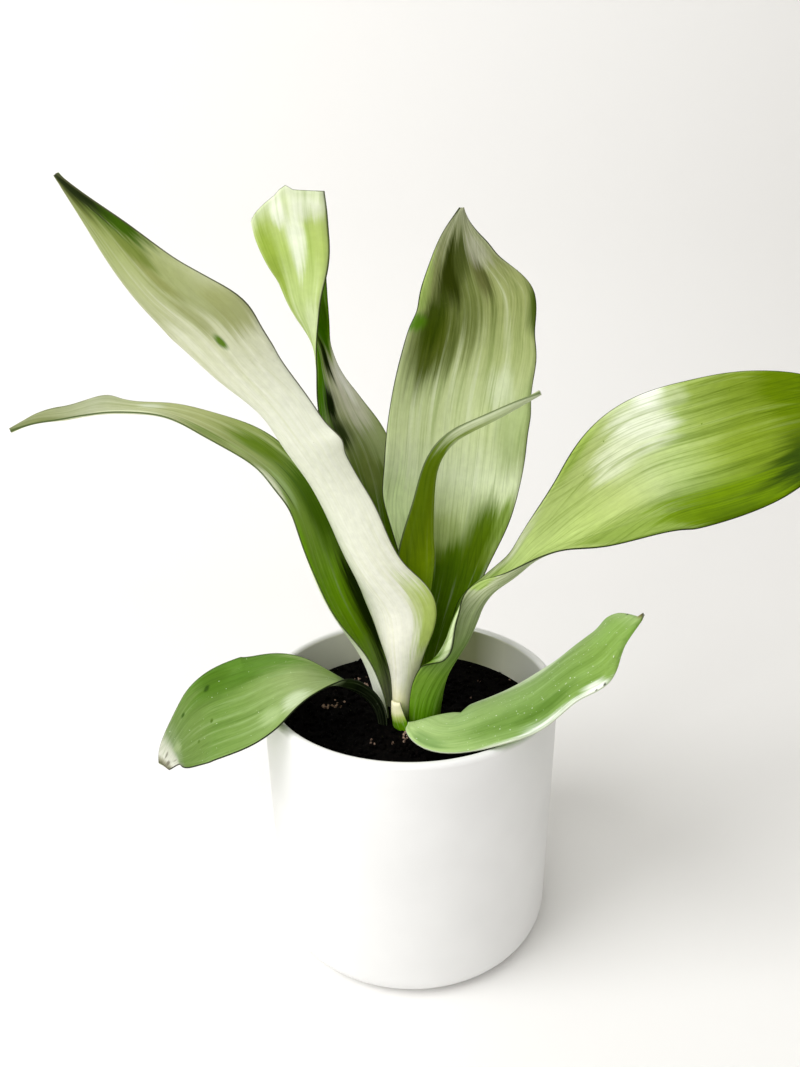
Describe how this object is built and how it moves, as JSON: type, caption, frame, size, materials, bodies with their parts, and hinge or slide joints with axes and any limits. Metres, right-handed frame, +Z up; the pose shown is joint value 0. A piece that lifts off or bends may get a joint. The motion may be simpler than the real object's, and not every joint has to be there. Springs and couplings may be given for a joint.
{
  "type": "potted snake plant",
  "caption": "Broad-leaved silvery snake plant standing in a plain round white glazed pot, leaves spreading left and right.",
  "frame": {"origin": "centre of the pot's flat base, on the surface that it stands on", "axes": "+Z up; +X to the right in the picture; +Y away from the picture's camera"},
  "size_m": [0.3757, 0.14, 0.3479],
  "materials": {
    "white_glaze": "satin",
    "potting_soil": "matte",
    "rhizome_skin": "matte",
    "leaf_front_left_skin": "satin",
    "leaf_arching_left_skin": "satin",
    "leaf_back_left_torn_skin": "satin",
    "leaf_back_skin": "satin",
    "leaf_young_skin": "satin",
    "leaf_right_skin": "satin",
    "leaf_low_left_skin": "satin",
    "leaf_low_right_skin": "satin",
    "cut_leaf_stub_skin": "matte"
  },
  "bodies": {
    "root": {"pot": "white_glaze", "soil": "potting_soil", "rhizome": "rhizome_skin", "leaf_front_left": "leaf_front_left_skin", "leaf_arching_left": "leaf_arching_left_skin", "leaf_back_left_torn": "leaf_back_left_torn_skin", "leaf_back": "leaf_back_skin", "leaf_young": "leaf_young_skin", "leaf_right": "leaf_right_skin", "leaf_low_left": "leaf_low_left_skin", "leaf_low_right": "leaf_low_right_skin", "cut_leaf_stub": "cut_leaf_stub_skin"}
  },
  "joints": []
}
